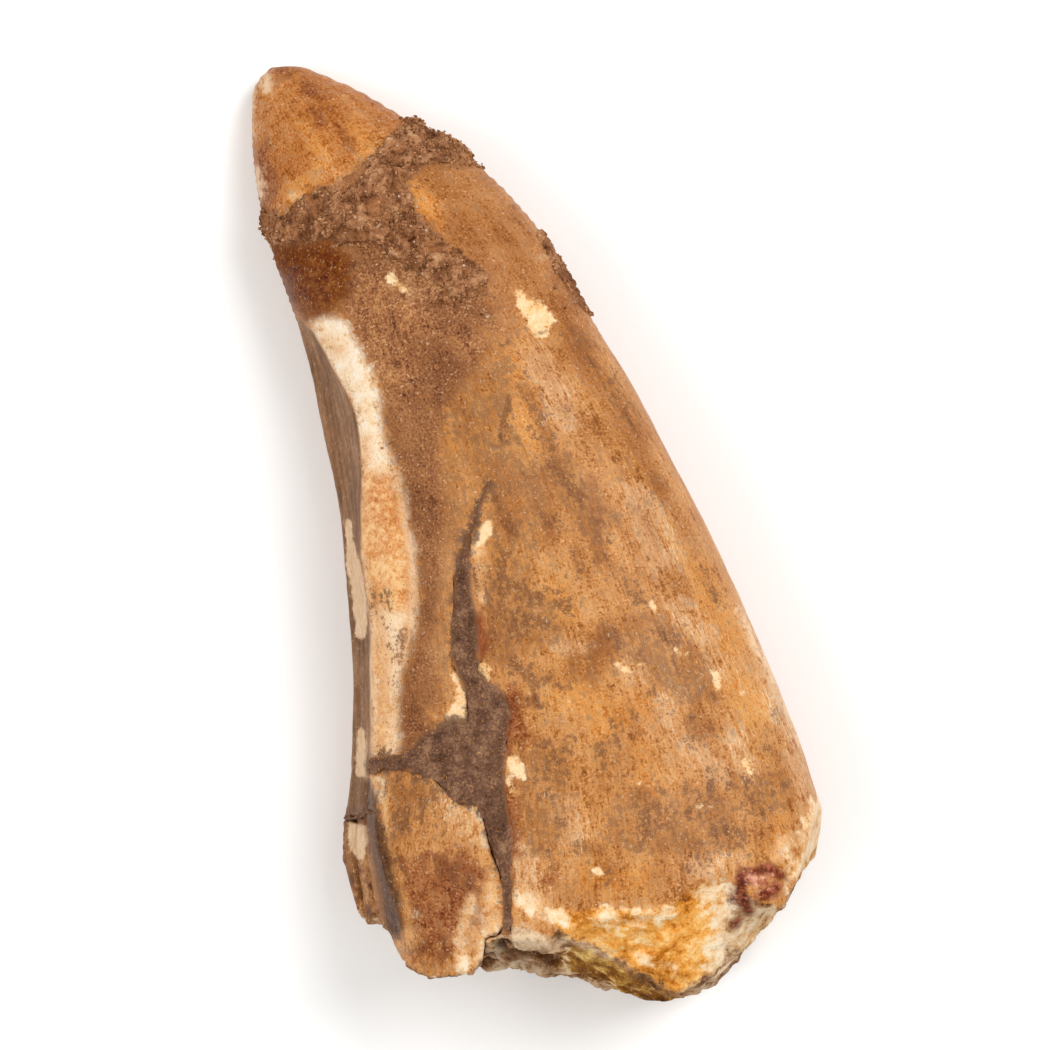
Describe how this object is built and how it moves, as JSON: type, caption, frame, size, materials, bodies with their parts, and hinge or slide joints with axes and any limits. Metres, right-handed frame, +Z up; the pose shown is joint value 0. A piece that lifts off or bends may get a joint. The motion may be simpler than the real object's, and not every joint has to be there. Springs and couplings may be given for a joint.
{
  "type": "fossil dinosaur tooth",
  "caption": "Fossil crown of a large meat-eating dinosaur's tooth, lying on its inner side, with a broken base, a cracked-off slab and sand still stuck below the tip.",
  "frame": {"origin": "centre of the tooth's outline from above, on the table it lies on", "axes": "+Y from the broken base to the tip end, along the longest extent; +Z up, out of the worn front of the crown; +X towards the mesial, outward-curved edge"},
  "size_m": [0.0488, 0.08, 0.021],
  "materials": {
    "stained_enamel": "smooth, softly glossy enamel stained tan, orange and brown; broken dentine matt",
    "slab_enamel": "smooth, softly glossy enamel stained tan and rust",
    "chip_enamel": "smooth brown enamel with a pale patch",
    "dark_sediment": "matt, dark, fine-grained hardened sediment",
    "cemented_sand": "matt, grainy cemented sand"
  },
  "bodies": {
    "root": {"crown": "stained_enamel", "base_slab_front": "slab_enamel", "base_chip_rear": "chip_enamel", "crack_sediment": "dark_sediment", "sand_crust_band": "cemented_sand", "sand_crust_edge": "cemented_sand"}
  },
  "joints": []
}
